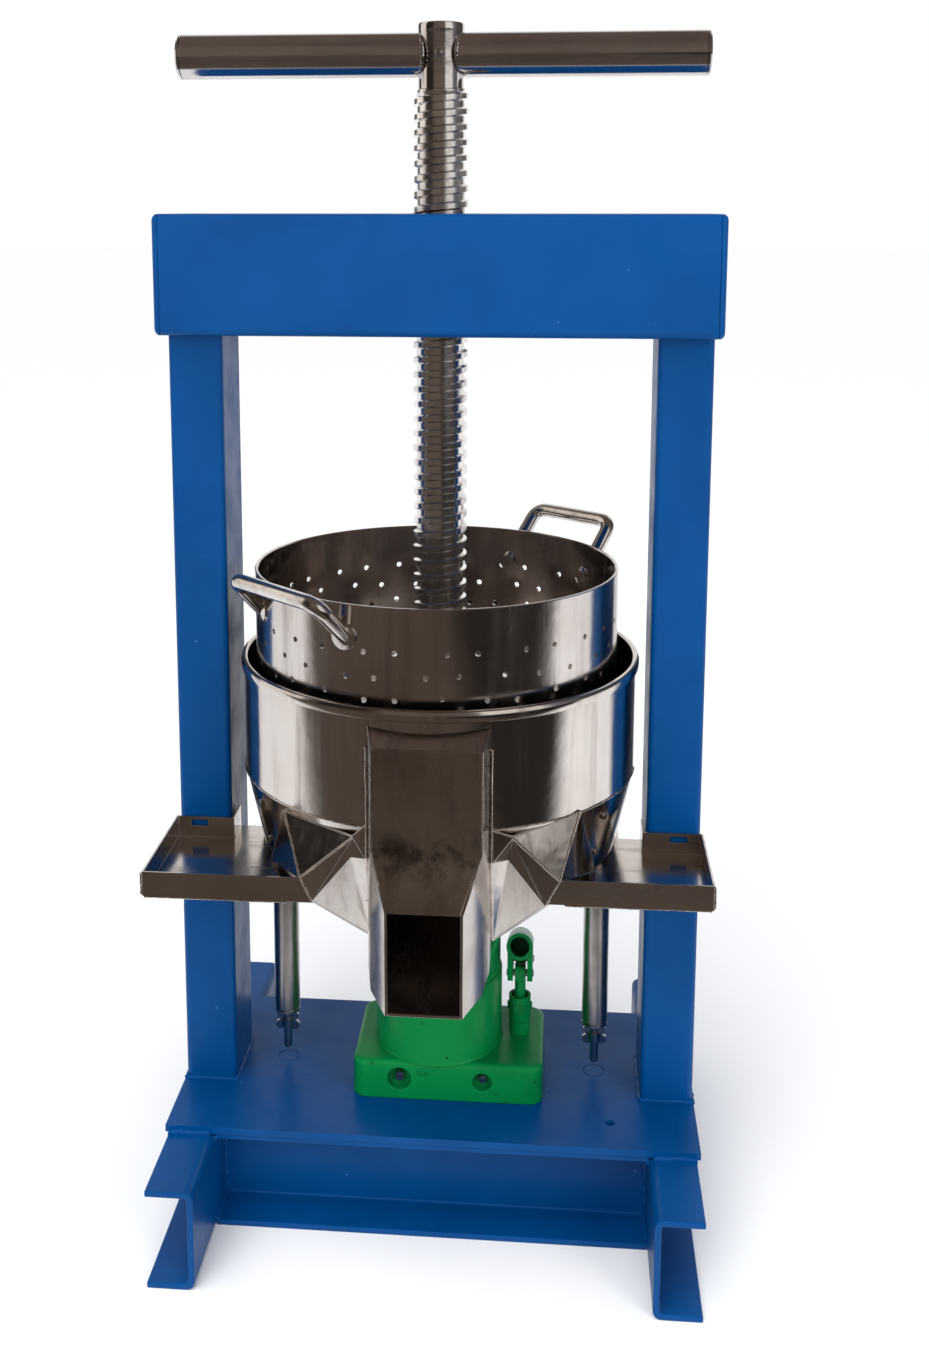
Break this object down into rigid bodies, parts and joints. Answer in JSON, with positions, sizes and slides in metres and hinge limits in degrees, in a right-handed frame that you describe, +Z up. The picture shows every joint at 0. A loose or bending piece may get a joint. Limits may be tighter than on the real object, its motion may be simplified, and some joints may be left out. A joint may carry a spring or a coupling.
{
  "type": "fruit press",
  "caption": "Frame press with a lead screw and T-bar above a perforated basket, and a bottle jack that lifts the collector vessel with chute and drip pans.",
  "frame": {"origin": "on the floor under the middle of the overall footprint; the lead screw axis stands 10 mm behind it", "axes": "+X to the operator's right, +Y to the back away from the chute, +Z up along the lead screw"},
  "size_m": [0.444, 0.384, 0.978],
  "materials": {
    "frame_blue": "glossy blue paint",
    "stainless_sheet": "polished stainless sheet",
    "bright_steel": "bright turned steel",
    "jack_green": "glossy green paint",
    "dark_steel": "plain dark steel"
  },
  "bodies": {
    "frame": {"foot_channel_right": "frame_blue", "foot_channel_left": "frame_blue", "cross_channel_front": "frame_blue", "cross_channel_rear": "frame_blue", "base_plate": "frame_blue", "post_right": "frame_blue", "post_left": "frame_blue", "beam_tube": "frame_blue", "beam_end_caps": "frame_blue", "screw_nut": "dark_steel", "jack_base": "jack_green", "jack_reservoir": "jack_green", "jack_top_cap": "jack_green", "jack_carry_hoop": "jack_green", "jack_base_plug": "dark_steel", "pump_body": "jack_green", "fulcrum_lug": "jack_green", "fulcrum_pin": "dark_steel"},
    "carrier": {"jack_ram": "bright_steel", "ram_saddle": "bright_steel", "platform_bar": "stainless_sheet", "leg_tube_right": "stainless_sheet", "leg_tube_left": "stainless_sheet", "leg_pins": "bright_steel", "leg_wing_nuts": "dark_steel", "vessel_shell": "stainless_sheet", "vessel_rim": "stainless_sheet", "vessel_cone": "stainless_sheet", "vessel_floor": "stainless_sheet", "vessel_lap_rivets": "stainless_sheet", "drain_rack": "stainless_sheet", "pan_left": "stainless_sheet", "pan_right": "stainless_sheet", "funnel_wing_left": "stainless_sheet", "funnel_wing_right": "stainless_sheet", "chute_side_left": "stainless_sheet", "chute_side_right": "stainless_sheet", "chute_front": "stainless_sheet", "chute_hood": "stainless_sheet", "chute_floor": "stainless_sheet"},
    "basket": {"basket_shell": "stainless_sheet", "basket_floor": "stainless_sheet", "basket_handle_rear": "stainless_sheet", "basket_handle_front": "stainless_sheet", "basket_handle_rivets": "stainless_sheet"},
    "press_head": {"press_plate": "bright_steel", "press_boss": "bright_steel", "press_ribs": "bright_steel", "press_grub_screws": "dark_steel"},
    "screw": {"lead_screw": "bright_steel", "handle_neck": "bright_steel", "neck_rivet": "bright_steel", "t_bar_right": "bright_steel", "t_bar_left": "bright_steel", "t_bar_end_caps": "bright_steel"},
    "plunger": {"pump_plunger": "jack_green", "plunger_pin": "dark_steel"},
    "pump_lever": {"handle_socket": "jack_green"},
    "valve": {"release_valve": "dark_steel"}
  },
  "joints": [
    {"name": "press_travel", "type": "slide", "parent": "frame", "child": "press_head", "axis": [0, 0, 1], "range_m": [-0.04, 0.18]},
    {"name": "screw_turn", "type": "hinge", "parent": "press_head", "child": "screw", "pos_m": [0, 0.01, 0.5], "axis": [0, 0, -1], "range_deg": [-5400, 1200]},
    {"name": "ram_lift", "type": "slide", "parent": "frame", "child": "carrier", "axis": [0, 0, 1], "range_m": [-0.008, 0.03]},
    {"name": "basket_lift", "type": "slide", "parent": "carrier", "child": "basket", "axis": [0, 0, 1], "range_m": [0, 0.015]},
    {"name": "pump_swing", "type": "hinge", "parent": "frame", "child": "pump_lever", "pos_m": [0.07, 0.044, 0.177], "axis": [1, 0, 0], "range_deg": [-8, 22]},
    {"name": "plunger_stroke", "type": "slide", "parent": "frame", "child": "plunger", "axis": [0, 0, 1], "range_m": [-0.0105, 0.004]},
    {"name": "valve_turn", "type": "hinge", "parent": "frame", "child": "valve", "pos_m": [-0.03, -0.035, 0.107], "axis": [0, -1, 0], "range_deg": [0, 360]}
  ],
  "couplings": [
    {"joint": "screw_turn", "follows": "press_travel", "rad_per_m": -523.6},
    {"joint": "plunger_stroke", "follows": "pump_swing", "m_per_rad": -0.0266}
  ]
}
